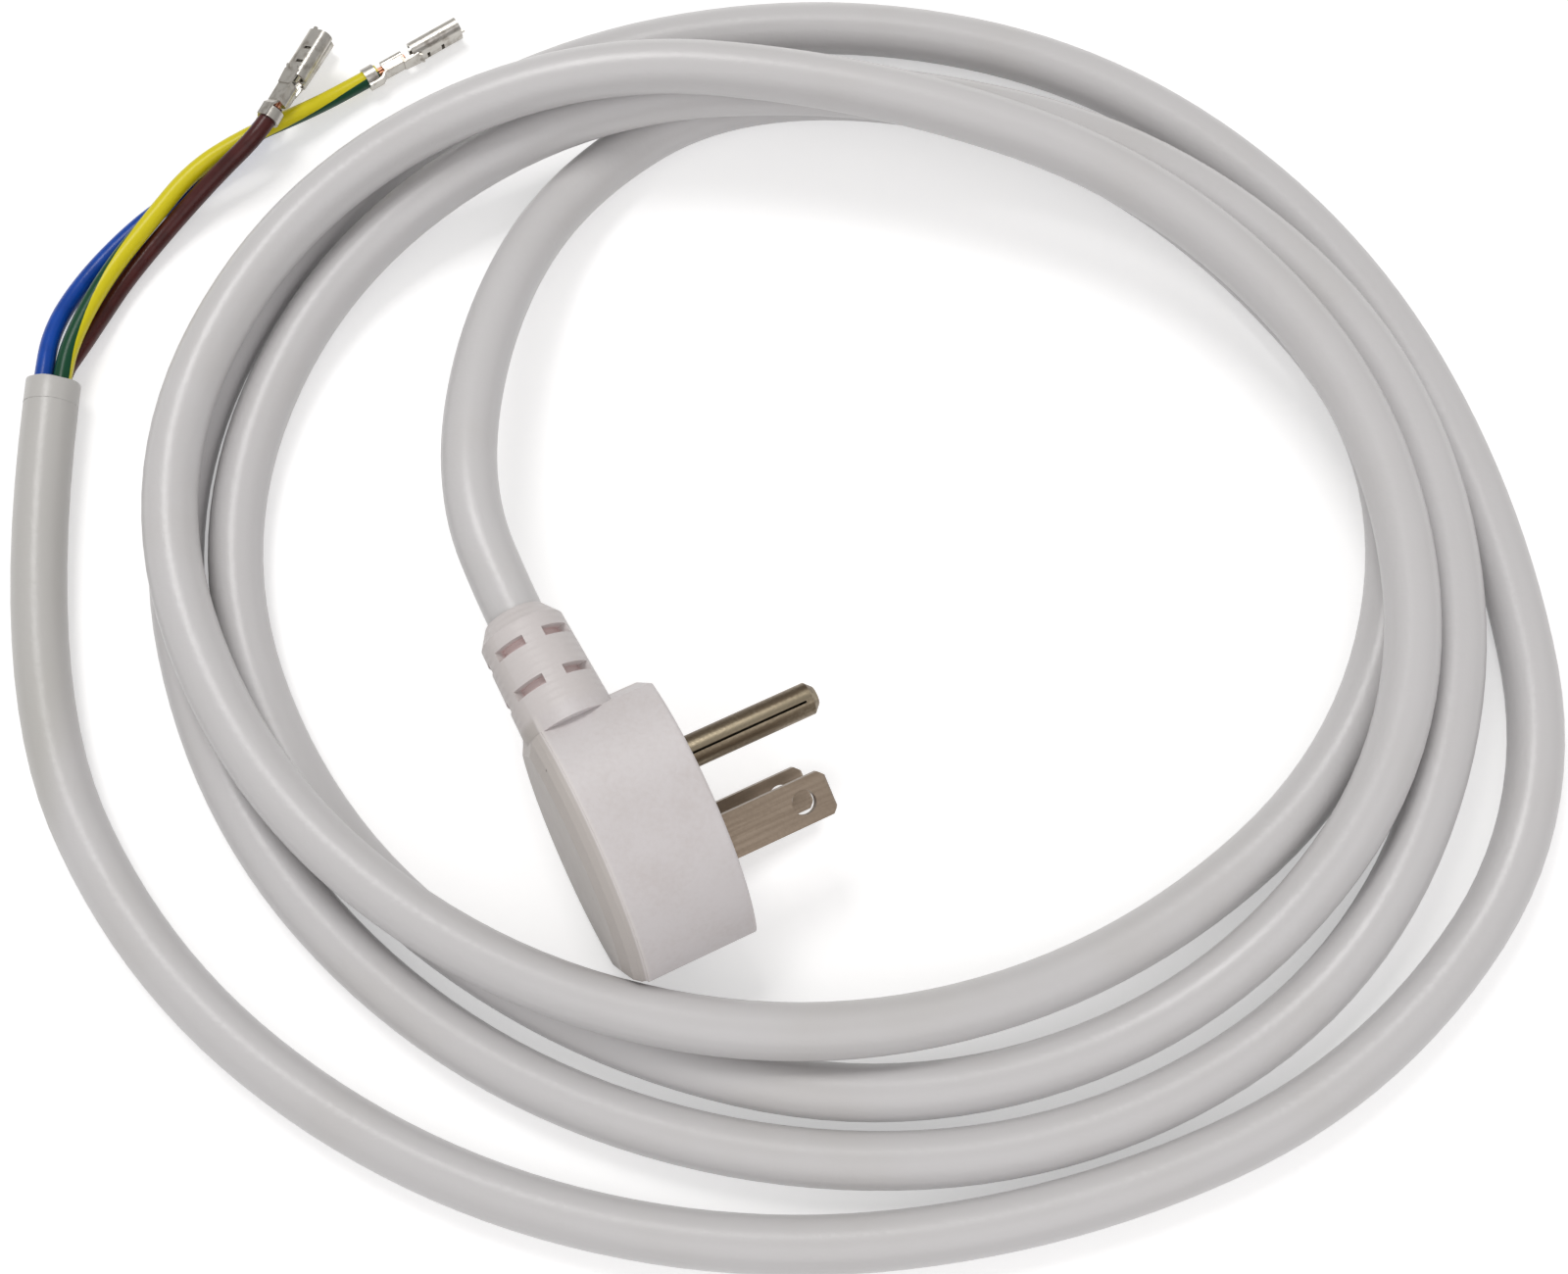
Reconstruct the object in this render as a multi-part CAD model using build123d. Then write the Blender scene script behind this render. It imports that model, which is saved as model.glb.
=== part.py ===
from build123d import *
import math
import os

# Power cord: a round three-core lead lying in a loose coil of four turns. One end has a
# moulded right-angle plug with two flat blades and a round earth pin, lying on its flank
# inside the coil. The other end is stripped and its three cores end in crimped receptacles.
# Millimetres, +X right, +Y away, +Z up, origin on the surface under the middle of the coil.

# Lead
JACKET_DIAMETER = 8.0
CORE_DIAMETER = 2.6
STRAND_DIAMETER = 0.46
STRANDS_AROUND = 6
STRIP_BORE_DEPTH = 12.0
STRIP_BORE_DIAMETER = 5.9
ARC_SHARE = 0.45

# Plug, measured along the blades, along the body from the cord end, and across the blades
BLADE_SPACING = 12.7
BLADE_WIDTH = 6.35
BLADE_THICKNESS = 1.5
BLADE_LENGTH = 16.6
BLADE_HOLE_DIAMETER = 3.5
BLADE_HOLE_FROM_FACE = 12.4
BLADE_TIP_CHAMFER = 0.9
EARTH_PIN_DIAMETER = 4.76
EARTH_PIN_LENGTH = 21.3
EARTH_PIN_FROM_BLADES = 11.9
EARTH_PIN_TIP_CHAMFER = 1.0
PLUG_LENGTH = 37.0
PLUG_END_WIDTH = 9.8
PLUG_MIDDLE_WIDTH = 28.0
PLUG_WALL_DEPTH = 16.5
PLUG_BACK_DEPTH = 2.6
PARTING_STEP = 0.2
BLADES_FROM_CORD_END = 23.3
CORD_BEHIND_FACE = 12.0

# Strain relief
RELIEF_LENGTH = 16.0
RELIEF_ROOT_DIAMETER = 13.2
RELIEF_OUTER_DIAMETER = 12.3
RELIEF_MOUTH_DIAMETER = 8.8
RELIEF_CHAMFER_LENGTH = 2.5
POCKET_WIDTH = 1.5
POCKET_DEPTH = 1.6
POCKET_ANGLE = 45.0
POCKETS_PER_ROW = 5
POCKET_ROWS_FROM_MOUTH = (5.4, 11.6)

# Crimped receptacles
SHEET = 0.4
RECEPTACLE_WIDTH = 4.2
RECEPTACLE_HEIGHT = 2.6
RECEPTACLE_LENGTH = 8.6
CONTACT_LENGTH = 17.0
INSULATION_CRIMP_LENGTH = 1.9
CRIMP_CLEARANCE = 0.03

# Where the plug lies: the face's centre line at its cord end, the way the blades point, and
# the way from the cord end to the far end. The curved flank rests on the surface.
PLUG_PLACE = (-17.9, -19.1, 21.3)
PLUG_FORWARD = (0.889, 0.445, -0.106)
PLUG_ALONG = (0.385, -0.854, -0.351)

# The lead's route, from the stripped end to inside the plug. It goes round four times
# anticlockwise, and each turn crosses over or lies beside the ones before it.
CORD_ROUTE = [
    (-108.5, 32, 5),
    (-110, -14, 4),
    (-88.5, -56, 4),
    (-51, -83.5, 4),
    (-6, -95, 4),
    (40, -90, 4),
    (82.5, -71.5, 4),
    (111.5, -34, 4),
    (106.5, 13, 4),
    (87.5, 55, 4),
    (52, 85.5, 4),
    (7, 95.5, 4),
    (-39, 86, 4),
    (-75.5, 57, 4),
    (-92, 13, 4),
    (-79.5, -33, 4),
    (-47.5, -66.5, 4),
    (-4, -83, 4),
    (42.5, -81, 4),
    (82.5, -57, 4),
    (100.5, -14, 9),
    (92.5, 32, 12.5),
    (59.5, 66, 12.8),
    (14.5, 78.5, 12.6),
    (-32, 75.5, 12.9),
    (-70, 50, 4),
    (-82.5, 5, 4),
    (-65, -38.5, 4),
    (-27, -66, 4),
    (18.5, -76, 4),
    (63, -60.5, 4),
    (91.5, -24.5, 13),
    (88, 22.5, 17.5),
    (57.5, 58, 19.5),
    (14, 73.5, 21.6),
    (-32, 78, 21),
    (-73.5, 58.5, 12.6),
    (-92, 15, 12.6),
    (-75.5, -29.5, 12.6),
    (-39.5, -58.8, 12.9),
    (6, -68.2, 10.6),
    (50.5, -55, 4),
    (86, -23.5, 4),
    (94, 22.5, 4),
    (65.5, 60, 4),
    (30, 80.5, 4),
    (-8, 82, 4),
    (-32, 65.5, 4.3),
    (-42.5, 39, 14),
    (-44.5, 9.5, 21.5),
    (-36.1, -10.3, 22),
    (-27.2, -27, 22.3),
]

# The three cores, from inside the jacket to the end of their insulation in the crimp
BLUE_ROUTE = [
    (-110.25, 21.5, 5.5),
    (-109.93, 33, 5.72),
    (-109.8, 41.5, 4),
    (-106.5, 50.5, 1.6),
    (-100.3, 58.5, 1.4),
    (-93.8, 63.3, 1.4),
    (-87.8, 67.6, 1.4),
    (-83.1, 72, 1.6),
    (-79.2, 79.1, 1.9),
]
BROWN_ROUTE = [
    (-108.85, 21.5, 3.2),
    (-108.55, 33, 3.43),
    (-107, 39.5, 3.1),
    (-103.3, 46.5, 1.8),
    (-97.5, 52.5, 1.8),
    (-91.5, 58.2, 3.4),
    (-86.3, 63.6, 5.9),
    (-82.6, 67.6, 7.5),
    (-80, 71.5, 7.9),
    (-77.6, 76.6, 7.7),
]
EARTH_ROUTE = [
    (-107.5, 21.5, 5.5),
    (-107.27, 33.5, 5.74),
    (-105.6, 41, 5.5),
    (-101.9, 50.5, 4.6),
    (-96.5, 59, 4.3),
    (-90.5, 68, 4.3),
    (-82.5, 73.5, 4.7),
    (-75, 77.5, 4.2),
    (-69, 82, 2.5),
    (-63, 86, 2.4),
]

# How far each receptacle is rolled about its own axis from lying flat on its base
BLUE_ROLL = 0.0
BROWN_ROLL = 155.0
EARTH_ROLL = -90.0

# Smaller sizes of the moulding
FRONT_EDGE_RADIUS = 0.5
BACK_TAPERS = (15, 38, 62)
RELIEF_ROOT_BURIED = 2.0
POCKET_START_ANGLE = 26.0
CARRIER_DEPTH = 6.5
CARRIER_BEHIND_FACE = 1.5
CARRIER_LENGTH = 24.0
CARRIER_WIDTH = 17.6
CARRIER_CORNER = 3.0

# Smaller sizes of the prongs behind the face
BLADE_SHOULDER = 8.5
BLADE_SHOULDER_STEP = 1.2
BLADE_TAIL_DEPTH = 12.8
BLADE_TIP_BEVEL = 0.35
WIRE_BARREL_DIAMETER = 2.8
BARREL_REACH = 5.0
BARREL_LAP = 1.4
COPPER_IN_BARREL = 4.0
PIN_SHOULDER = 7.0
PIN_ROOT_DIAMETER = 4.4
PIN_SHEET = 0.9
PIN_SEAM = 0.35
PIN_NOSE = 2.0
PIN_RING_GAP = 0.1
PIN_RING_DEPTH = 0.4
PIN_BARREL_BEHIND = 3.4
PIN_BARREL_DEPTH = 13.6
TONGUE_WIDTH = 3.4
TONGUE_LAP = 1.2
LEAD_BARE = 1.2
LEAD_BEND = 5.0
LEAD_GAP = 1.5
LINE_LEAD_SIDE = (1.5, 0.85)
NEUTRAL_LEAD_SIDE = (-1.5, 0.85)
EARTH_LEAD_SIDE = (0, -1.7)

# Smaller sizes of a receptacle, from the open end of its insulation crimp
CORE_END_IN_CONTACT = 2.2
STRANDS_PAST_BARREL = 0.3
BARREL_START = 3.2
BARREL_LENGTH = 3.7
BARREL_WIDTH = 2.4
BARREL_DEPTH = 1.1
LOBE_RADIUS = 0.75
LOBE_OFFSET = 0.5
LOBE_LIFT = 0.35
STRIP_WIDTH = 1.8
STRIP_DROP = 0.05
BAND_SEAM = 0.25
ROLL_RADIUS = 1.2
ROLL_GAP = 0.9
NOTCH_SIDE = 0.5
NOTCH_LENGTH = 0.5
NOTCH_WIDTH = 1.3
BASE_NOTCHES = (2.4, 5.0)
STOP_TAB_LENGTH = 0.5
STOP_TAB_WIDTH = 0.5
LANCE_OFFSET = 0.9
LANCE_WIDTH = 0.5
LANCE_REACH = 0.4

# Sizes worked out from the ones above
PLUG = Plane(origin=PLUG_PLACE, x_dir=PLUG_ALONG, z_dir=PLUG_FORWARD)
EARTH_PIN_FROM_CORD_END = BLADES_FROM_CORD_END - EARTH_PIN_FROM_BLADES
COPPER_DIAMETER = STRAND_DIAMETER * 3 - 0.06
RECEPTACLE_START = CONTACT_LENGTH - RECEPTACLE_LENGTH
STRANDS_LENGTH = BARREL_START + BARREL_LENGTH + STRANDS_PAST_BARREL - CORE_END_IN_CONTACT
BLADE_BARREL_START = BARREL_LAP - BLADE_WIDTH / 2 - BARREL_REACH


def unit(start, end):
    return (Vector(*end) - Vector(*start)).normalized()


def smooth_path(points):
    """Straight runs joined by arcs as large as the two runs beside each corner allow."""
    points = [Vector(*p) for p in points]
    radii = []
    for before, corner, after in zip(points, points[1:], points[2:]):
        turn = math.radians((corner - before).get_angle(after - corner))
        shorter = min((corner - before).length, (after - corner).length)
        radii.append(ARC_SHARE * shorter / math.tan(turn / 2))
    return FilletPolyline(*points, radius=radii), radii


def tube(points, diameter):
    """A round rod of one diameter along a route."""
    path, radii = smooth_path(points)
    start = Plane(origin=path @ 0, z_dir=path % 0)
    return sweep(start * Circle(diameter / 2), path=path), path.length, radii


def round_bar(start, end, diameter):
    """A straight round bar between two points."""
    way = Vector(*end) - Vector(*start)
    base = Plane(origin=start, z_dir=way)
    return extrude(base * Circle(diameter / 2), amount=way.length)


def jacket():
    """The white sheath: a round rod, bored out at the stripped end where the cores leave."""
    rod, length, radii = tube(CORD_ROUTE, JACKET_DIAMETER)
    mouth, after = CORD_ROUTE[0], CORD_ROUTE[1]
    bore_end = Vector(*mouth) + unit(mouth, after) * STRIP_BORE_DEPTH
    bore = round_bar(mouth, bore_end, STRIP_BORE_DIAMETER)
    section = math.pi * JACKET_DIAMETER**2 / 4
    print("jacket radii", [round(r, 1) for r in radii])
    print("jacket length", round(length, 1), "volume", round(rod.volume), "of", round(section * length))
    return rod - bore


def contact_frame(route, roll):
    """A receptacle's own frame: X along the core's last run, Z away from its base."""
    along = unit(route[-2], route[-1])
    upward = Vector(0, 0, 1) - along * along.Z
    origin = Vector(*route[-1]) - along * CORE_END_IN_CONTACT
    return Plane(origin=origin, x_dir=along, z_dir=upward) * Location((0, 0, 0), (roll, 0, 0))


def side_plate(points, width):
    """A plate bent in one direction only: its side outline, given a width across."""
    outline = Plane.XZ * make_face(Polyline(*points, close=True))
    return extrude(outline, amount=width / 2, both=True)


def insulation_crimp():
    """The band that grips the insulation, open along a fine seam on top."""
    outer = CORE_DIAMETER / 2 + CRIMP_CLEARANCE + SHEET
    band = Circle(outer) - Circle(CORE_DIAMETER / 2 + CRIMP_CLEARANCE)
    seam = Pos(0, outer) * Rectangle(BAND_SEAM, 2 * SHEET + 0.2)
    return extrude(Plane.YZ * (band - seam), amount=INSULATION_CRIMP_LENGTH)


def conductor_crimp():
    """The barrel on the bare strands: a flat floor with its two wings curled over in lobes."""
    floor = Pos(0, (LOBE_LIFT - BARREL_DEPTH) / 2) * Rectangle(BARREL_WIDTH, BARREL_DEPTH + LOBE_LIFT)
    lobes = Pos(-LOBE_OFFSET, LOBE_LIFT) * Circle(LOBE_RADIUS) + Pos(LOBE_OFFSET, LOBE_LIFT) * Circle(LOBE_RADIUS)
    profile = floor + lobes - Circle(COPPER_DIAMETER / 2 + 0.01)
    return Pos(BARREL_START, 0, 0) * extrude(Plane.YZ * profile, amount=BARREL_LENGTH)


def receptacle_body():
    """The socket: a flat base with both edges rolled inward, open along the top."""
    outside = RectangleRounded(RECEPTACLE_WIDTH, RECEPTACLE_HEIGHT, ROLL_RADIUS)
    inside = RectangleRounded(
        RECEPTACLE_WIDTH - 2 * SHEET, RECEPTACLE_HEIGHT - 2 * SHEET, ROLL_RADIUS - SHEET
    )
    gap = Pos(0, RECEPTACLE_HEIGHT / 2) * Rectangle(ROLL_GAP, RECEPTACLE_HEIGHT / 2 + SHEET)
    body = extrude(Plane.YZ * (outside - inside - gap), amount=RECEPTACLE_LENGTH)
    for start in BASE_NOTCHES:
        body -= Pos(start, NOTCH_SIDE, -RECEPTACLE_HEIGHT / 2) * Box(
            NOTCH_LENGTH, NOTCH_WIDTH, 3 * SHEET
        )
    stop = Pos(RECEPTACLE_LENGTH, -NOTCH_SIDE, (SHEET - RECEPTACLE_HEIGHT) / 2) * Box(
        2 * STOP_TAB_LENGTH, STOP_TAB_WIDTH, SHEET
    )
    return Pos(RECEPTACLE_START, 0, 0) * (body + stop)


def base_strip():
    """The strip of sheet that joins the two crimps and the socket, stepped in height."""
    band_floor = -(CORE_DIAMETER / 2 + CRIMP_CLEARANCE + SHEET + STRIP_DROP)
    socket_floor = -RECEPTACLE_HEIGHT / 2
    steps = [
        (0, band_floor),
        (CORE_END_IN_CONTACT + STRIP_DROP, band_floor),
        (BARREL_START, -BARREL_DEPTH),
        (BARREL_START + BARREL_LENGTH, -BARREL_DEPTH),
        (RECEPTACLE_START + 1, socket_floor),
    ]
    top = [(x, z + SHEET) for x, z in reversed(steps)]
    strip = side_plate(steps + top, STRIP_WIDTH)
    cone = [
        (BARREL_START + BARREL_LENGTH - 0.4, BARREL_WIDTH / 2),
        (RECEPTACLE_START + 0.8, RECEPTACLE_WIDTH / 2 - ROLL_RADIUS / 2),
    ]
    flare = make_face(Polyline(*cone, *[(x, -y) for x, y in reversed(cone)], close=True))
    floor = Pos(0, 0, socket_floor) * extrude(flare, amount=SHEET)
    return strip + floor


def locking_lance(side):
    """One of two small whiskers of sheet bent out behind the socket."""
    start = RECEPTACLE_START + 0.4
    floor = -RECEPTACLE_HEIGHT / 2
    outline = [
        (start, floor + SHEET / 2),
        (start + 0.35, floor + SHEET / 2),
        (start + 1.0, floor - LANCE_REACH),
        (start + 0.75, floor - LANCE_REACH),
    ]
    return Pos(0, side * LANCE_OFFSET, 0) * side_plate(outline, LANCE_WIDTH)


def contact(frame):
    """A whole receptacle, folded from one piece of tinned sheet."""
    piece = base_strip() + insulation_crimp() + conductor_crimp() + receptacle_body()
    return frame * (piece + locking_lance(-1) + locking_lance(1))


def strand_bundle(length):
    """Bare copper: six strands round a seventh, laid against each other."""
    pitch = STRAND_DIAMETER - 0.03
    strand = Circle(STRAND_DIAMETER / 2)
    bundle = strand + [loc * strand for loc in PolarLocations(pitch, STRANDS_AROUND)]
    return extrude(Plane.YZ * bundle, amount=length)


def outline(shrink=0.0):
    """The plug's outline from the front: two bowed flanks between two short straight ends."""
    half_end = PLUG_END_WIDTH / 2 - shrink
    half_middle = PLUG_MIDDLE_WIDTH / 2 - shrink
    start, end = shrink, PLUG_LENGTH - shrink
    middle = PLUG_LENGTH / 2
    upper = ThreePointArc((start, half_end), (middle, half_middle), (end, half_end))
    lower = ThreePointArc((start, -half_end), (middle, -half_middle), (end, -half_end))
    ends = Line((start, -half_end), (start, half_end)) + Line((end, -half_end), (end, half_end))
    return make_face(upper + lower + ends)


def relief_frame():
    """The strain relief's frame: at its mouth, Z into the plug along the lead, X upward."""
    way = unit(CORD_ROUTE[-2], CORD_ROUTE[-1])
    return Plane(origin=CORD_ROUTE[-2], x_dir=Vector(0, 0, 1) - way * way.Z, z_dir=way)


def strain_relief():
    """The tapered collar on the lead, with two rows of pockets that let it bend."""
    outer, root = RELIEF_OUTER_DIAMETER / 2, RELIEF_ROOT_DIAMETER / 2
    reach = RELIEF_LENGTH + RELIEF_ROOT_BURIED
    profile = [
        (0, 0),
        (RELIEF_MOUTH_DIAMETER / 2, 0),
        (outer, RELIEF_CHAMFER_LENGTH),
        (root, RELIEF_LENGTH),
        (root, reach),
        (0, reach),
    ]
    collar = revolve(Plane.XZ * make_face(Polyline(*profile, close=True)), axis=Axis.Z)
    for from_mouth in POCKET_ROWS_FROM_MOUTH:
        radius = outer + (root - outer) * from_mouth / RELIEF_LENGTH
        ring = Circle(radius + 1) - Circle(radius - POCKET_DEPTH)
        half = math.radians(POCKET_ANGLE / 2)
        far = 2 * radius
        wedge = make_face(
            Polyline(
                (0, 0), (far, -far * math.tan(half)), (far, far * math.tan(half)), close=True
            )
        )
        for turn in range(POCKETS_PER_ROW):
            angle = POCKET_START_ANGLE + turn * 360 / POCKETS_PER_ROW
            pocket = extrude(ring & (Rot(0, 0, angle) * wedge), amount=POCKET_WIDTH)
            collar -= Pos(0, 0, from_mouth - POCKET_WIDTH / 2) * pocket
    return relief_frame() * collar


def plug_shape():
    """The outside of the moulding: the bowed wall, the crowned back and the strain relief."""
    wall = Pos(0, 0, -PLUG_WALL_DEPTH) * extrude(outline(), amount=PLUG_WALL_DEPTH)
    front = wall.faces().sort_by(Axis.Z)[-1].edges()
    wall = fillet(front, FRONT_EDGE_RADIUS)
    shape = wall
    inset, depth = PARTING_STEP, PLUG_WALL_DEPTH
    for taper in BACK_TAPERS:
        layer = PLUG_BACK_DEPTH / len(BACK_TAPERS)
        shape += Pos(0, 0, -depth) * extrude(outline(inset), amount=-layer, taper=taper)
        inset += layer * math.tan(math.radians(taper))
        depth += layer
    return PLUG * shape + strain_relief()


def blade(across):
    """A flat blade with a drilled tip, and behind the face a tail with its wire barrel."""
    half = BLADE_WIDTH / 2
    tip = BLADE_LENGTH
    cut = BLADE_TIP_CHAMFER
    side = [
        (-half, -BLADE_TAIL_DEPTH),
        (half - BLADE_SHOULDER_STEP, -BLADE_TAIL_DEPTH),
        (half - BLADE_SHOULDER_STEP, -BLADE_SHOULDER),
        (half, -BLADE_SHOULDER),
        (half, tip - cut),
        (half - cut, tip),
        (cut - half, tip),
        (-half, tip - cut),
    ]
    flat = Plane.XZ * make_face(Polyline(*side, close=True))
    plate = extrude(flat, amount=BLADE_THICKNESS / 2, both=True)
    plate = chamfer(plate.faces().sort_by(Axis.Z)[-1].edges().filter_by(Axis.X), BLADE_TIP_BEVEL)
    hole = Pos(0, 0, BLADE_HOLE_FROM_FACE) * Rot(90, 0, 0) * Cylinder(
        BLADE_HOLE_DIAMETER / 2, 2 * BLADE_THICKNESS
    )
    barrel = Vector(BLADE_BARREL_START, 0, -CORD_BEHIND_FACE)
    whole = plate - hole + wire_barrel(barrel) - barrel_bore(barrel)
    return PLUG * Pos(BLADES_FROM_CORD_END, across, 0) * whole


def wire_barrel(start):
    """The closed crimp barrel on a prong's tail, along the plug, behind the prong."""
    return Pos(start) * extrude(Plane.YZ * Circle(WIRE_BARREL_DIAMETER / 2), amount=BARREL_REACH)


def barrel_bore(start):
    """The blind bore that the bare copper is crimped in."""
    bore = Circle(COPPER_DIAMETER / 2 + 0.02)
    return Pos(start) * extrude(Plane.YZ * bore, amount=COPPER_IN_BARREL)


def earth_pin():
    """The round earth pin, rolled from sheet: hollow, with a seam, and a chamfered nose."""
    radius = EARTH_PIN_DIAMETER / 2
    pin = extrude(Circle(radius), amount=EARTH_PIN_LENGTH)
    nose = pin.faces().sort_by(Axis.Z)[-1].edges()
    pin = chamfer(nose, EARTH_PIN_TIP_CHAMFER)
    hollow = Pos(0, 0, -PIN_SHOULDER) * extrude(
        Circle(radius - PIN_SHEET), amount=EARTH_PIN_LENGTH + PIN_SHOULDER - PIN_NOSE
    )
    seam = Pos(0, -radius, (EARTH_PIN_LENGTH - PIN_NOSE - PIN_SHOULDER) / 2) * Box(
        PIN_SEAM, 3 * PIN_SHEET, EARTH_PIN_LENGTH + PIN_SHOULDER - PIN_NOSE
    )
    tongue = Pos(0, 0, -(PIN_BARREL_DEPTH + PIN_SHOULDER - TONGUE_LAP) / 2) * Box(
        TONGUE_WIDTH, BLADE_THICKNESS, PIN_BARREL_DEPTH - PIN_SHOULDER + TONGUE_LAP
    )
    barrel = Vector(-PIN_BARREL_BEHIND, 0, -PIN_BARREL_DEPTH)
    root = extrude(Circle(PIN_ROOT_DIAMETER / 2), amount=-PIN_SHOULDER)
    whole = pin + root - hollow - seam + tongue + wire_barrel(barrel) - barrel_bore(barrel)
    return PLUG * Pos(EARTH_PIN_FROM_CORD_END, 0, 0) * whole


def carrier():
    """The stiff inner block that holds the three prongs apart inside the moulding."""
    middle = (EARTH_PIN_FROM_CORD_END + BLADES_FROM_CORD_END) / 2
    block = RectangleRounded(CARRIER_LENGTH, CARRIER_WIDTH, CARRIER_CORNER)
    depth = Pos(middle, 0, -CARRIER_BEHIND_FACE - CARRIER_DEPTH)
    return PLUG * (depth * extrude(block, amount=CARRIER_DEPTH))


def lead(side, barrel):
    """A core's last stretch inside the plug: its insulated part and its bare copper end."""
    way = unit(CORD_ROUTE[-2], CORD_ROUTE[-1])
    across = PLUG.y_dir - way * way.dot(PLUG.y_dir)
    origin = Vector(*CORD_ROUTE[-1]) + way * LEAD_GAP
    start = Plane(origin=origin, x_dir=across, z_dir=way).from_local_coords(Vector(*side, 0))
    bare = barrel - Vector(LEAD_BARE, 0, 0)
    stop = PLUG.from_local_coords(bare)
    if bare.Y:
        elbow = PLUG.from_local_coords(bare - Vector(LEAD_BEND, 0, 0))
        insulation, length, radii = tube([tuple(start), tuple(elbow), tuple(stop)], CORE_DIAMETER)
        print("lead length", round(length, 1), "radii", [round(r, 1) for r in radii])
    else:
        insulation = round_bar(start, stop, CORE_DIAMETER)
    wire = extrude(Plane.YZ * Circle(COPPER_DIAMETER / 2), amount=LEAD_BARE + COPPER_IN_BARREL)
    return insulation, PLUG * Pos(bare) * wire - insulation


def save(name, shape):
    solids = shape.solids()
    print(name, "solids", len(solids), "volume", round(sum(s.volume for s in solids), 1))
    whole = solids[0] if len(solids) == 1 else Compound(children=list(solids))
    export_step(whole, os.path.join("parts", name + ".step"))


def main():
    os.makedirs("parts", exist_ok=True)
    sheath = jacket()
    save("jacket", sheath)

    ends = {
        "blue": (BLUE_ROUTE, BLUE_ROLL),
        "brown": (BROWN_ROUTE, BROWN_ROLL),
        "earth": (EARTH_ROUTE, EARTH_ROLL),
    }
    for name, (route, roll) in ends.items():
        insulation, length, radii = tube(route, CORE_DIAMETER)
        print(name, "core radii", [round(r, 1) for r in radii], "length", round(length, 1))
        frame = contact_frame(route, roll)
        strands = Pos(CORE_END_IN_CONTACT, 0, 0) * strand_bundle(STRANDS_LENGTH)
        save(name + "_core", insulation)
        save(name + "_strands", frame * strands)
        save(name + "_contact", contact(frame))

    half = BLADE_SPACING / 2
    prongs = {"line_blade": blade(half), "neutral_blade": blade(-half), "earth_pin": earth_pin()}
    blade_barrel = BLADES_FROM_CORD_END + BLADE_BARREL_START
    pin_barrel = EARTH_PIN_FROM_CORD_END - PIN_BARREL_BEHIND
    leads = {
        "line": lead(LINE_LEAD_SIDE, Vector(blade_barrel, half, -CORD_BEHIND_FACE)),
        "neutral": lead(NEUTRAL_LEAD_SIDE, Vector(blade_barrel, -half, -CORD_BEHIND_FACE)),
        "earth": lead(EARTH_LEAD_SIDE, Vector(pin_barrel, 0, -PIN_BARREL_DEPTH)),
    }
    inside_pin = PLUG * Pos(EARTH_PIN_FROM_CORD_END, 0, -PIN_SHOULDER) * extrude(
        Circle(PIN_ROOT_DIAMETER / 2), amount=EARTH_PIN_LENGTH
    )
    round_pin = PLUG * Pos(EARTH_PIN_FROM_CORD_END, 0, -PIN_RING_DEPTH) * extrude(
        Circle(EARTH_PIN_DIAMETER / 2 + PIN_RING_GAP), amount=2 * PIN_RING_DEPTH
    )
    tail, length, radii = tube(CORD_ROUTE[-4:], JACKET_DIAMETER)
    holder = carrier() - inside_pin
    body = plug_shape() - carrier() - inside_pin - round_pin - tail
    for prong in prongs.values():
        holder -= prong
        body -= prong
    for insulation, copper in leads.values():
        body = body - insulation - copper
    body = max(body.solids(), key=lambda solid: solid.volume)

    for name, prong in prongs.items():
        save(name, prong)
    for name, (insulation, copper) in leads.items():
        save(name + "_lead", insulation)
        save(name + "_lead_copper", copper)
    save("prong_carrier", holder)
    save("plug_body", body)


main()
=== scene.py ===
import math

import bpy
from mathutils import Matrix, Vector


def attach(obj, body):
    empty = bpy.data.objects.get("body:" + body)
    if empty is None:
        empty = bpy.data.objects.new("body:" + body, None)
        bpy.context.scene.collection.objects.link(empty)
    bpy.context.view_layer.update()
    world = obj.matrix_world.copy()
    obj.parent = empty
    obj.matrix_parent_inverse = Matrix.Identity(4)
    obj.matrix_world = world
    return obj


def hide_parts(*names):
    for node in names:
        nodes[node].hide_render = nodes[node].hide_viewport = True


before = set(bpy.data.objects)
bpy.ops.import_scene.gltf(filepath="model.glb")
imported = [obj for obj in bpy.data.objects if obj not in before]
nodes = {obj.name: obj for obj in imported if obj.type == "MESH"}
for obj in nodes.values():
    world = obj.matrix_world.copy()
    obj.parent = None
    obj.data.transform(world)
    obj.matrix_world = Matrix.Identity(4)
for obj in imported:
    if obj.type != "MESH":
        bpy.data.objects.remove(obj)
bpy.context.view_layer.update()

scene = bpy.context.scene

# The viewpoint: a slightly long lens held over the coil, a little in front of it and tilted
# forward, as the cord was photographed.
CAMERA_PLACE = (0.0011, -0.1070, 0.3316)
CAMERA_TILT = math.radians(16.9)
LENS = 54
SENSOR = 36
NEAREST = 0.01
bpy.ops.object.camera_add(location=CAMERA_PLACE, rotation=(CAMERA_TILT, 0, 0))
camera = bpy.context.object
camera.data.lens = LENS
camera.data.sensor_width = SENSOR
camera.data.clip_start = NEAREST
scene.camera = camera


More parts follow.
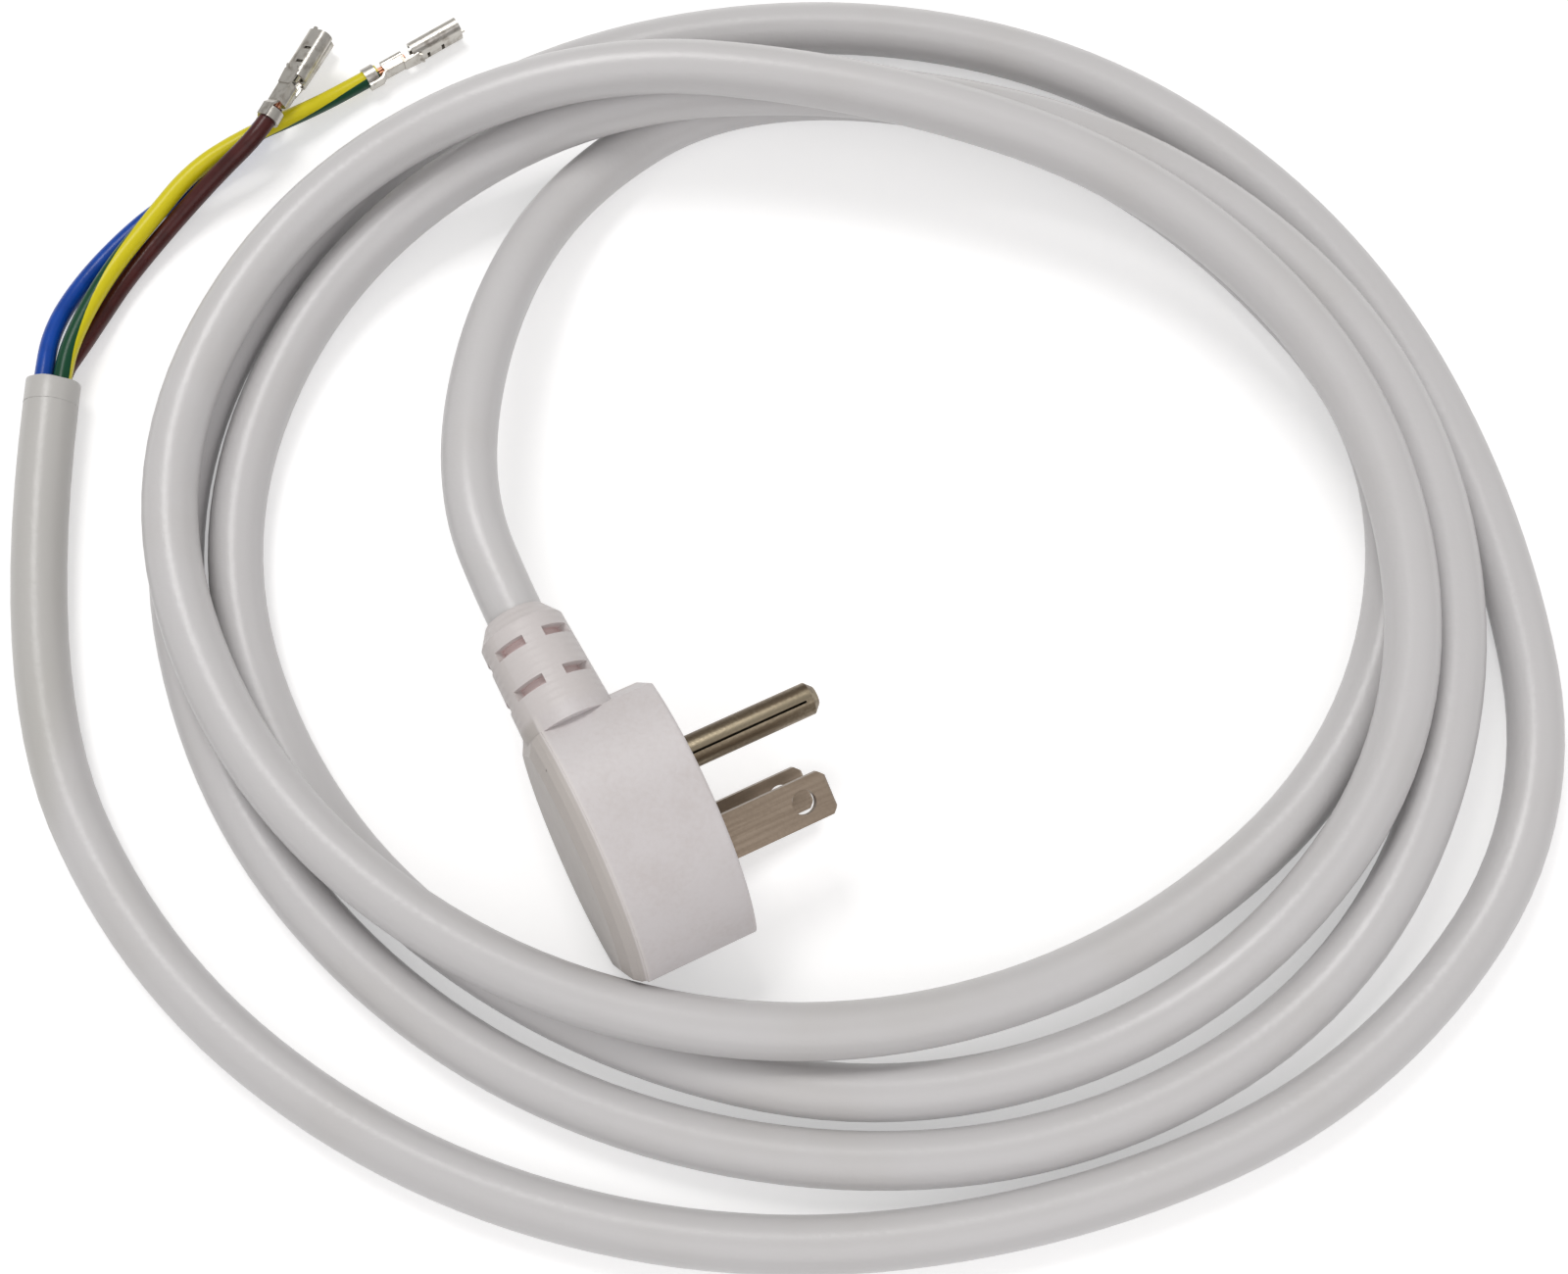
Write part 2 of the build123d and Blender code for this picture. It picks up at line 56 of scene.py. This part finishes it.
# The lead: 2.2 m of round three-core cable with a light grey vinyl jacket, lying in four loose
# turns. The jacket is extruded and smooth, with a few specks, and a darker, warmer grey by its cut end.
CORD_RADIUS = 0.004
MOUTH = (-0.1085, 0.032, 0.005)
RELIEF_MOUTH = (-0.0361, -0.0103, 0.022)
CORD_ROUTE = [
    (-0.1086, 0.0290, 0.0049),
    (-0.1100, -0.0140, 0.0040),
    (-0.0885, -0.0560, 0.0040),
    (-0.0510, -0.0835, 0.0040),
    (-0.0060, -0.0950, 0.0040),
    (0.0400, -0.0900, 0.0040),
    (0.0825, -0.0715, 0.0040),
    (0.1115, -0.0340, 0.0040),
    (0.1065, 0.0130, 0.0040),
    (0.0875, 0.0550, 0.0040),
    (0.0520, 0.0855, 0.0040),
    (0.0070, 0.0955, 0.0040),
    (-0.0390, 0.0860, 0.0040),
    (-0.0755, 0.0570, 0.0040),
    (-0.0920, 0.0130, 0.0040),
    (-0.0795, -0.0330, 0.0040),
    (-0.0475, -0.0665, 0.0040),
    (-0.0040, -0.0830, 0.0040),
    (0.0425, -0.0810, 0.0040),
    (0.0825, -0.0570, 0.0040),
    (0.1005, -0.0140, 0.0090),
    (0.0925, 0.0320, 0.0125),
    (0.0595, 0.0660, 0.0128),
    (0.0145, 0.0785, 0.0126),
    (-0.0320, 0.0755, 0.0129),
    (-0.0704, 0.0503, 0.0040),
    (-0.0836, 0.0056, 0.0040),
    (-0.0650, -0.0385, 0.0040),
    (-0.0270, -0.0660, 0.0040),
    (0.0185, -0.0760, 0.0040),
    (0.0630, -0.0605, 0.0040),
    (0.0915, -0.0245, 0.0130),
    (0.0880, 0.0225, 0.0175),
    (0.0575, 0.0580, 0.0195),
    (0.0140, 0.0735, 0.0216),
    (-0.0320, 0.0780, 0.0210),
    (-0.0735, 0.0585, 0.0126),
    (-0.0920, 0.0150, 0.0126),
    (-0.0755, -0.0295, 0.0126),
    (-0.0395, -0.0588, 0.0129),
    (0.0060, -0.0682, 0.0106),
    (0.0505, -0.0550, 0.0040),
    (0.0860, -0.0235, 0.0040),
    (0.0940, 0.0225, 0.0040),
    (0.0655, 0.0600, 0.0040),
    (0.0300, 0.0805, 0.0040),
    (-0.0080, 0.0820, 0.0040),
    (-0.0320, 0.0655, 0.0043),
    (-0.0425, 0.0390, 0.0140),
    (-0.0445, 0.0095, 0.0215),
    (-0.0361, -0.0103, 0.0220),
    (-0.0272, -0.0270, 0.0223),
]


STEPS_ALONG = 12
STEPS_ROUND = 8


def lay_cord(name, route, radius, material):
    """A round lead: one smooth open curve with the route's points as its controls."""
    curve = bpy.data.curves.new(name, "CURVE")
    curve.dimensions = "3D"
    spline = curve.splines.new("NURBS")
    spline.points.add(len(route) - 1)
    for control, place in zip(spline.points, route):
        control.co = (*place, 1)
    spline.order_u = 3
    spline.use_endpoint_u = True
    spline.resolution_u = STEPS_ALONG
    curve.bevel_depth = radius
    curve.bevel_resolution = STEPS_ROUND
    curve.use_fill_caps = True
    curve.materials.append(material)
    piece = bpy.data.objects.new(name, curve)
    scene.collection.objects.link(piece)
    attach(piece, "root")
    return piece


class Shade:
    """A value in a material's node tree. Arithmetic on it adds Math nodes."""

    def __init__(self, tree, socket=None):
        self.tree = tree
        self.socket = socket

    def add(self, kind, settings=None, inputs=None, output=0):
        """One node: its type, its settings, set first, and the values or links of its sockets."""
        made = self.tree.nodes.new(kind)
        for name, value in (settings or {}).items():
            setattr(made, name, value)
        for name, value in (inputs or {}).items():
            if isinstance(value, Shade):
                self.tree.links.new(value.socket, made.inputs[name])
            else:
                made.inputs[name].default_value = value
        return Shade(self.tree, made.outputs[output])

    def maths(self, operation, first, second=0.0):
        return self.add("ShaderNodeMath", {"operation": operation}, {0: first, 1: second})

    def apply(self, operation):
        return self.maths(operation, self)

    def __add__(self, other):
        return self.maths("ADD", self, other)

    def __sub__(self, other):
        return self.maths("SUBTRACT", self, other)

    def __mul__(self, other):
        return self.maths("MULTIPLY", self, other)

    def __radd__(self, other):
        return self.maths("ADD", other, self)

    def __rsub__(self, other):
        return self.maths("SUBTRACT", other, self)

    def __rmul__(self, other):
        return self.maths("MULTIPLY", other, self)

    def mix(self, first, second):
        """The first colour where this value is 0, and the second where it is 1."""
        return self.add(
            "ShaderNodeMix", {"data_type": "RGBA"}, {0: self, 6: first, 7: second}, output=2
        )

    def step(self, low, high):
        """0 below the low value and 1 above the high one, smooth between."""
        return self.add(
            "ShaderNodeMapRange",
            {"interpolation_type": "SMOOTHSTEP"},
            {"Value": self, "From Min": low, "From Max": high},
        )

    def noise(self, scale, detail=3.0):
        """Soft noise on this place, from 0 to 1."""
        return self.add("ShaderNodeTexNoise", None, {"Vector": self, "Scale": scale, "Detail": detail})

    def past(self, point):
        """The way from a point to this place."""
        return self.add("ShaderNodeVectorMath", {"operation": "SUBTRACT"}, {0: self, 1: point})

    def toward(self, point, way):
        """How far this place lies from a point in one direction."""
        settings = {"operation": "DOT_PRODUCT"}
        inputs = {0: self.past(point), 1: way}
        return self.add("ShaderNodeVectorMath", settings, inputs, output="Value")

    def specks(self, scale, core, rim):
        """Small round specks scattered over this place: 1 inside one and 0 outside."""
        inputs = {"Vector": self, "Scale": scale}
        cells = self.add("ShaderNodeTexVoronoi", None, inputs, output="Distance")
        return 1 - cells.step(core, rim)

    def vector(self, x, y, z):
        return self.add("ShaderNodeCombineXYZ", None, {"X": x, "Y": y, "Z": z})


def new_material(name, colour, roughness, metallic=0.0):
    """A material, the place on the piece in its tree, and its shader."""
    material = bpy.data.materials.new(name)
    material.use_nodes = True
    shader = material.node_tree.nodes["Principled BSDF"]
    shader.inputs["Base Color"].default_value = colour
    shader.inputs["Roughness"].default_value = roughness
    shader.inputs["Metallic"].default_value = metallic
    place = Shade(material.node_tree).add("ShaderNodeTexCoord", output="Object")
    return material, place, shader


def feed(shader, name, value):
    value.tree.links.new(value.socket, shader.inputs[name])


def raise_surface(shader, height, distance):
    """A bump of the given height in metres."""
    bump = height.add("ShaderNodeBump", None, {"Height": height, "Distance": distance, "Strength": 1.0})
    feed(shader, "Normal", bump)


JACKET_GREY = (0.610, 0.600, 0.603, 1)
JACKET_DULL = (0.585, 0.572, 0.566, 1)
CUT_END_SIDE_GREY = (0.500, 0.490, 0.465, 1)
JACKET_SPECK = (0.120, 0.095, 0.080, 1)
CUT_END_SIDE_FROM = 0.0035
CUT_END_SIDE_TO = 0.0095
JACKET_GRAIN = 0.00004
jacket_vinyl, place, shader = new_material("grey_vinyl_jacket", JACKET_GREY, 0.36)
patches = place.noise(45, 4)
# The jacket is painted a darker, warmer grey on the side of the coil by its cut end.
by_cut_end_side = 1 - place.toward(MOUTH, (1, 0, 0)).step(CUT_END_SIDE_FROM, CUT_END_SIDE_TO)
colour = patches.step(0.45, 0.8).mix(JACKET_GREY, JACKET_DULL)
colour = (by_cut_end_side * (0.55 + 0.4 * patches)).mix(colour, CUT_END_SIDE_GREY)
specks = place.specks(75.0, 0.012, 0.022) * place.noise(30, 2).step(0.50, 0.56)
feed(shader, "Base Color", (specks * 0.7).mix(colour, JACKET_SPECK))
feed(shader, "Roughness", 0.27 + 0.11 * place.noise(160, 2))
raise_surface(shader, place.noise(900, 2) + 0.6 * place.noise(220, 2), JACKET_GRAIN)

jacket = lay_cord("grey_jacket", CORD_ROUTE, CORD_RADIUS, jacket_vinyl)
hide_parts("jacket")


# The jacket's cut end: the sheath was scored round and pulled off the cores, which left a
# slightly uneven rim, open round the three cores.
SLEEVE_LENGTH = 0.0036
SLEEVE_WALL = 0.00105
SLEEVE_RIM_BEVEL = 0.00022
SLEEVE_PROUD = 0.000008
RIM_SWAY = 0.00012
RIM_RIPPLE = 0.00006
axis = (Vector(CORD_ROUTE[1]) - Vector(MOUTH)).normalized()


def clear_selection():
    bpy.ops.object.select_all(action="DESELECT")


def settle(piece, material):
    """Puts a finished piece's place into its mesh, and gives it its material and body."""
    clear_selection()
    piece.select_set(True)
    bpy.context.view_layer.objects.active = piece
    bpy.ops.object.transform_apply(location=True, rotation=True, scale=True)
    piece.data.materials.clear()
    piece.data.materials.append(material)
    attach(piece, "root")


clear_selection()
bpy.ops.mesh.primitive_cylinder_add(
    vertices=48,
    radius=CORD_RADIUS + SLEEVE_PROUD,
    depth=SLEEVE_LENGTH,
    end_fill_type="NOTHING",
    location=Vector(MOUTH) + axis * SLEEVE_LENGTH / 2,
    rotation=axis.to_track_quat("-Z", "Y").to_euler(),
)
rim = bpy.context.object
rim.name = "jacket_cut_end"
for vertex in rim.data.vertices:
    if vertex.co.z > 0:
        turn = math.atan2(vertex.co.y, vertex.co.x)
        vertex.co.z += RIM_SWAY * math.sin(2 * turn + 0.6) + RIM_RIPPLE * math.sin(5 * turn)
cut = rim.vertex_groups.new(name="cut")
cut.add([vertex.index for vertex in rim.data.vertices if vertex.co.z > 0], 1.0, "REPLACE")
wall = rim.modifiers.new("wall", "SOLIDIFY")
wall.thickness = SLEEVE_WALL
wall.offset = -1
soft = rim.modifiers.new("rim", "BEVEL")
soft.width = SLEEVE_RIM_BEVEL
soft.segments = 3
soft.limit_method = "VGROUP"
soft.vertex_group = "cut"
for modifier in ("wall", "rim"):
    bpy.ops.object.modifier_apply(modifier=modifier)
bpy.ops.object.shade_smooth_by_angle(angle=math.radians(40))
settle(rim, jacket_vinyl)


# The three cores: fine copper in smooth vinyl, blue and brown for the line and green with a
# yellow stripe for earth. They fan out of the jacket, and each ends in its receptacle's crimp.
CORE_RADIUS = 0.00138
BLUE_ROUTE = [
    (-0.11025, 0.0215, 0.0055),
    (-0.10993, 0.0330, 0.00572),
    (-0.1098, 0.0415, 0.0040),
    (-0.1065, 0.0505, 0.0016),
    (-0.1003, 0.0585, 0.0014),
    (-0.0944, 0.0639, 0.0014),
    (-0.0886, 0.0684, 0.0014),
    (-0.0838, 0.0727, 0.0016),
    (-0.0792, 0.0791, 0.0019),
]
BROWN_ROUTE = [
    (-0.10885, 0.0215, 0.0032),
    (-0.10855, 0.0330, 0.00343),
    (-0.1055, 0.0390, 0.0028),
    (-0.1025, 0.0457, 0.0019),
    (-0.1002, 0.0501, 0.0018),
    (-0.0969, 0.0550, 0.0020),
    (-0.0929, 0.0600, 0.0028),
    (-0.0886, 0.0646, 0.0042),
    (-0.0847, 0.0680, 0.0060),
    (-0.0811, 0.0711, 0.0074),
    (-0.0788, 0.0742, 0.0079),
    (-0.0776, 0.0766, 0.0077),
]
EARTH_ROUTE = [
    (-0.1075, 0.0215, 0.0055),
    (-0.10727, 0.0335, 0.00574),
    (-0.1056, 0.0410, 0.0055),
    (-0.1019, 0.0505, 0.0046),
    (-0.0965, 0.0590, 0.0043),
    (-0.0905, 0.0680, 0.0043),
    (-0.0825, 0.0735, 0.0047),
    (-0.0750, 0.0775, 0.0042),
    (-0.0690, 0.0820, 0.0025),
    (-0.0630, 0.0860, 0.0024),
]
BLUE = (0.003, 0.065, 0.400, 1)
BLUE_DEEP = (0.002, 0.050, 0.320, 1)
BROWN = (0.072, 0.0140, 0.0130, 1)
BROWN_DEEP = (0.048, 0.010, 0.009, 1)
GREEN = (0.002, 0.060, 0.024, 1)
YELLOW = (0.700, 0.610, 0.010, 1)
STRIPE_TWISTS = 0.8
STRIPE_SHARE = 0.64
STRIPE_START = 0.58
STRIPE_EDGE = 0.012
VINYL_GLOSS = 0.3
VINYL_GRAIN = 0.00002


def core_vinyl(name, colour, deep):
    """Smooth coloured vinyl, whose shade and gloss vary a little."""
    material, place, shader = new_material(name, colour, 0.3)
    shader.inputs["Specular IOR Level"].default_value = VINYL_GLOSS
    feed(shader, "Base Color", place.noise(300, 3).step(0.35, 0.75).mix(colour, deep))
    feed(shader, "Roughness", 0.24 + 0.14 * place.noise(500, 2))
    raise_surface(shader, place.noise(1400, 2), VINYL_GRAIN)
    return material


def striped_vinyl(name):
    """Green vinyl with a yellow stripe that winds slowly round the core."""
    material, place, shader = new_material(name, GREEN, 0.3)
    shader.inputs["Specular IOR Level"].default_value = VINYL_GLOSS
    surface = place.add("ShaderNodeTexCoord", output="UV")
    length = place.add("ShaderNodeSeparateXYZ", None, {0: surface}, output="X")
    turn = place.add("ShaderNodeSeparateXYZ", None, {0: surface}, output="Y")
    wound = (turn + length * STRIPE_TWISTS + STRIPE_START).apply("FRACT")
    edge = STRIPE_EDGE * place.noise(700, 2)
    begun = (wound - edge).step(0.0, STRIPE_EDGE)
    ended = (wound + edge).step(STRIPE_SHARE, STRIPE_SHARE + STRIPE_EDGE)
    stripe = begun * (1 - ended)
    feed(shader, "Base Color", stripe.mix(GREEN, YELLOW))
    feed(shader, "Roughness", 0.26 + 0.14 * place.noise(500, 2))
    raise_surface(shader, place.noise(1400, 2), VINYL_GRAIN)
    return material


cores = {
    "blue": (BLUE_ROUTE, core_vinyl("blue_vinyl", BLUE, BLUE_DEEP), 0.066),
    "brown": (BROWN_ROUTE, core_vinyl("brown_vinyl", BROWN, BROWN_DEEP), 0.065),
    "earth": (EARTH_ROUTE, striped_vinyl("green_and_yellow_vinyl"), 0.082),
}
for name, (route, vinyl, length) in cores.items():
    core = lay_cord(name + "_insulation", route, CORE_RADIUS, vinyl)
    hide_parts(name + "_core")
    nodes[name + "_contact"]
    nodes[name + "_strands"]


# The receptacles: each is folded from one strip of tinned brass, with an open band round the
# insulation, a barrel pressed on the bare copper, and a rolled socket for a flat tab.
def dress(material, *names):
    """Gives CAD pieces their finish."""
    for name in names:
        nodes[name].data.materials.clear()
        nodes[name].data.materials.append(material)


TIN = (0.56, 0.54, 0.50, 1)
TIN_DULL = (0.32, 0.29, 0.25, 1)
TIN_GRAIN = 0.00002
tin, place, shader = new_material("tinned_sheet", TIN, 0.3, metallic=1.0)
feed(shader, "Base Color", place.noise(700, 4).step(0.45, 0.8).mix(TIN, TIN_DULL))
feed(shader, "Roughness", 0.22 + 0.25 * place.noise(1500, 3))
raise_surface(shader, place.noise(2500, 3), TIN_GRAIN)
dress(tin, "blue_contact", "brown_contact", "earth_contact")

COPPER = (0.78, 0.40, 0.25, 1)
COPPER_BROWN = (0.40, 0.17, 0.09, 1)
copper, place, shader = new_material("bare_copper", COPPER, 0.35, metallic=1.0)
feed(shader, "Base Color", place.noise(900, 3).step(0.4, 0.8).mix(COPPER, COPPER_BROWN))
feed(shader, "Roughness", 0.28 + 0.2 * place.noise(1200, 2))
dress(copper, "blue_strands", "brown_strands", "earth_strands")
dress(copper, "line_lead_copper", "neutral_lead_copper", "earth_lead_copper")


# The plug: the wall, the crowned back and the ribbed strain relief are moulded in one shot of
# soft pinkish-white vinyl over the prongs and the lead's end. The mould parts at the back edge.
PLUG_PLACE = (-0.0179, -0.0191, 0.0213)
PLUG_FORWARD = (0.88919, 0.44509, -0.10602)
PLUG_ALONG = (0.38535, -0.85343, -0.35093)
RELIEF_WAY = (0.4703, -0.8824, 0.0159)
PARTING_DEPTH = -0.0165
RELIEF_LENGTH = 0.016
PLUG_WHITE = (0.660, 0.628, 0.632, 1)
PLUG_SHADE = (0.610, 0.570, 0.565, 1)
PLUG_BACK_TONE_AND_SHADE = (0.500, 0.465, 0.440, 1)
RELIEF_PINK = (0.640, 0.600, 0.590, 1)
POCKET_PINK_AND_LIGHT = (0.780, 0.630, 0.620, 1)
SEAM_HIGHLIGHT = (0.78, 0.74, 0.70, 1)
SEAM_HIGHLIGHT_WIDTH = 0.0006
SPECK = (0.060, 0.035, 0.025, 1)
RING_PITCH = 0.0011
PLUG_GRAIN = 0.00005
plug_vinyl, place, shader = new_material("pinkish_white_vinyl", PLUG_WHITE, 0.42)
depth = place.toward(PLUG_PLACE, PLUG_FORWARD)
sleeve = place.toward(RELIEF_MOUTH, RELIEF_WAY)
from_mouth = {0: place.past(RELIEF_MOUTH)}
spoke = place.add("ShaderNodeVectorMath", {"operation": "LENGTH"}, from_mouth, output="Value")
radius = (spoke * spoke - sleeve * sleeve).apply("SQRT")
relief = 1 - sleeve.step(RELIEF_LENGTH - 0.001, RELIEF_LENGTH + 0.0005)
pocket = relief * (1 - radius.step(0.0046, 0.0056)) * sleeve.step(0.003, 0.0036)
back_tone_and_shade = 1 - depth.step(PARTING_DEPTH - 0.0004, PARTING_DEPTH - 0.0001)
# A thin pale band along the parting edge is a painted highlight.
seam_highlight = 1 - depth.step(PARTING_DEPTH, PARTING_DEPTH + SEAM_HIGHLIGHT_WIDTH)
seam_highlight = depth.step(PARTING_DEPTH - 0.5 * SEAM_HIGHLIGHT_WIDTH, PARTING_DEPTH) * seam_highlight
clouds = place.noise(120, 4)
grain = place.noise(1500, 2)
colour = (clouds * 0.65 + grain * 0.35).step(0.38, 0.74).mix(PLUG_WHITE, PLUG_SHADE)
# The crowned back has a slightly different tone of its own, and is painted darker still as shade.
colour = back_tone_and_shade.mix(colour, PLUG_BACK_TONE_AND_SHADE)
colour = (relief * 0.8).mix(colour, RELIEF_PINK)
# The pockets have a pink of their own, and are painted lighter than the relief as painted light against
# the shade inside them.
colour = pocket.mix(colour, POCKET_PINK_AND_LIGHT)
# The painted highlight along the seam.
colour = (seam_highlight * (1 - relief) * 0.4).mix(colour, SEAM_HIGHLIGHT)
near_seam = 1 - (depth - PARTING_DEPTH).apply("ABSOLUTE").step(0.001, 0.0045)
specks = place.specks(420.0, 0.06, 0.11) * place.noise(260, 2).step(0.54, 0.62) * near_seam
colour = (specks * 0.8).mix(colour, SPECK)
feed(shader, "Base Color", colour)
feed(shader, "Roughness", 0.38 + 0.14 * place.noise(300, 3))
rings = (sleeve * (2 * math.pi / RING_PITCH)).apply("SINE") * relief
skin = place.noise(1100, 3) + 0.35 * place.noise(180, 2)
raise_surface(shader, skin + 0.6 * rings, PLUG_GRAIN)
dress(plug_vinyl, "plug_body")


# Inside the plug: a stiff moulded block holds the prongs at their spacing, and the cores' last
# stretches run from the jacket's end to the prongs' barrels.
CARRIER_WHITE = (0.72, 0.71, 0.67, 1)
CARRIER_SHADE = (0.62, 0.60, 0.55, 1)
CARRIER_GRAIN = 0.00003
GREEN_DEEP = (0.004, 0.050, 0.022, 1)
stiff_white, place, shader = new_material("stiff_white_moulding", CARRIER_WHITE, 0.45)
feed(shader, "Base Color", place.noise(250, 3).mix(CARRIER_WHITE, CARRIER_SHADE))
raise_surface(shader, place.noise(1500, 2), CARRIER_GRAIN)
dress(stiff_white, "prong_carrier")
dress(cores["brown"][1], "line_lead")
dress(cores["blue"][1], "neutral_lead")
dress(core_vinyl("green_lead_vinyl", GREEN, GREEN_DEEP), "earth_lead")


# The blades: punched from nickel-plated brass strip, drilled near the tip, with fine draw
# marks along them. Handling has left the plating brownish and dull in patches.
NICKEL = (0.290, 0.234, 0.180, 1)
NICKEL_BROWN = (0.255, 0.202, 0.152, 1)
BLADE_ROUGHNESS = 0.34
BLADE_STREAKS = 1600
PLUG_ACROSS = (0.24668, -0.27119, 0.93038)
STREAK_STRETCH = 0.04
METAL_GRAIN = 0.00003


def plated(name, bright, dull, roughness, streaks):
    """Plated metal with marks along the prong and uneven tarnish."""
    material, place, shader = new_material(name, bright, roughness, metallic=1.0)
    run = place.toward(PLUG_PLACE, PLUG_FORWARD)
    side = place.toward(PLUG_PLACE, PLUG_ALONG)
    height = place.toward(PLUG_PLACE, PLUG_ACROSS)
    drawn = place.vector(run * STREAK_STRETCH, side, height).noise(streaks, 3)
    tarnish = place.noise(2200, 4)
    feed(shader, "Base Color", (tarnish * 0.2 + drawn * 0.8).step(0.36, 0.62).mix(bright, dull))
    feed(shader, "Roughness", roughness - 0.1 + 0.2 * drawn + 0.12 * tarnish)
    raise_surface(shader, drawn + 0.5 * tarnish, METAL_GRAIN)
    return material


nickel = plated("nickel_plate", NICKEL, NICKEL_BROWN, BLADE_ROUGHNESS, BLADE_STREAKS)
dress(nickel, "line_blade", "neutral_blade")


# The earth pin: rolled from brass sheet, so a fine seam runs along it, with a turned nose. Its
# plating is worn to an olive gold with dark streaks along the pin.
PIN_GOLD = (0.325, 0.275, 0.195, 1)
PIN_DARK = (0.150, 0.115, 0.078, 1)
PIN_ROUGHNESS = 0.30
PIN_STREAKS = 520
brass = plated("worn_brass_plate", PIN_GOLD, PIN_DARK, PIN_ROUGHNESS, PIN_STREAKS)
dress(brass, "earth_pin")


# The studio: a pale floor under the coil, a large soft lamp above and behind the left, a weaker
# one above the front, and even, slightly warm light all round.
FLOOR_SIZE = 4.0
FLOOR_DROP = 0.0003
FLOOR_PALE = (0.80, 0.80, 0.80, 1)
FLOOR_LIFT = (0.42, 0.42, 0.42, 1)
BLACK = (0, 0, 0, 1)
WHITE = (1, 1, 1, 1)
SKY_LIGHT = (0.505, 0.498, 0.490, 1)
KEY_PLACE = (-0.22, 0.40, 0.85)
KEY_COLOUR = (1.0, 0.99, 0.98)
FILL_PLACE = (0.20, -0.62, 0.72)
FILL_COLOUR = (1.0, 0.975, 1.0)
clear_selection()
bpy.ops.mesh.primitive_plane_add(size=FLOOR_SIZE, location=(0, 0, -FLOOR_DROP))
floor = bpy.context.object
floor.name = "pale_floor"
pale, place, shader = new_material("pale_floor", FLOOR_PALE, 0.9)
seen = place.add("ShaderNodeLightPath", output="Is Camera Ray")
seen = seen + place.add("ShaderNodeLightPath", output="Is Glossy Ray")
shader.inputs["Emission Strength"].default_value = 1.0
feed(shader, "Emission Color", seen.mix(BLACK, FLOOR_LIFT))
floor.data.materials.append(pale)


def soft_lamp(name, place, size, power, colour):
    """A square soft lamp that faces the coil."""
    bpy.ops.object.light_add(type="AREA", location=place)
    lamp = bpy.context.object
    lamp.name = name
    lamp.data.size = size
    lamp.data.energy = power
    lamp.data.color = colour
    lamp.rotation_euler = (-Vector(place)).to_track_quat("-Z", "Y").to_euler()


soft_lamp("key_lamp", KEY_PLACE, 0.32, 3.1, KEY_COLOUR)
soft_lamp("fill_lamp", FILL_PLACE, 0.9, 2.4, FILL_COLOUR)

world = bpy.data.worlds.new("studio")
scene.world = world
world.use_nodes = True
seen = Shade(world.node_tree).add("ShaderNodeLightPath", output="Is Camera Ray")
feed(world.node_tree.nodes["Background"], "Color", seen.mix(SKY_LIGHT, WHITE))
scene.view_settings.view_transform = "Standard"
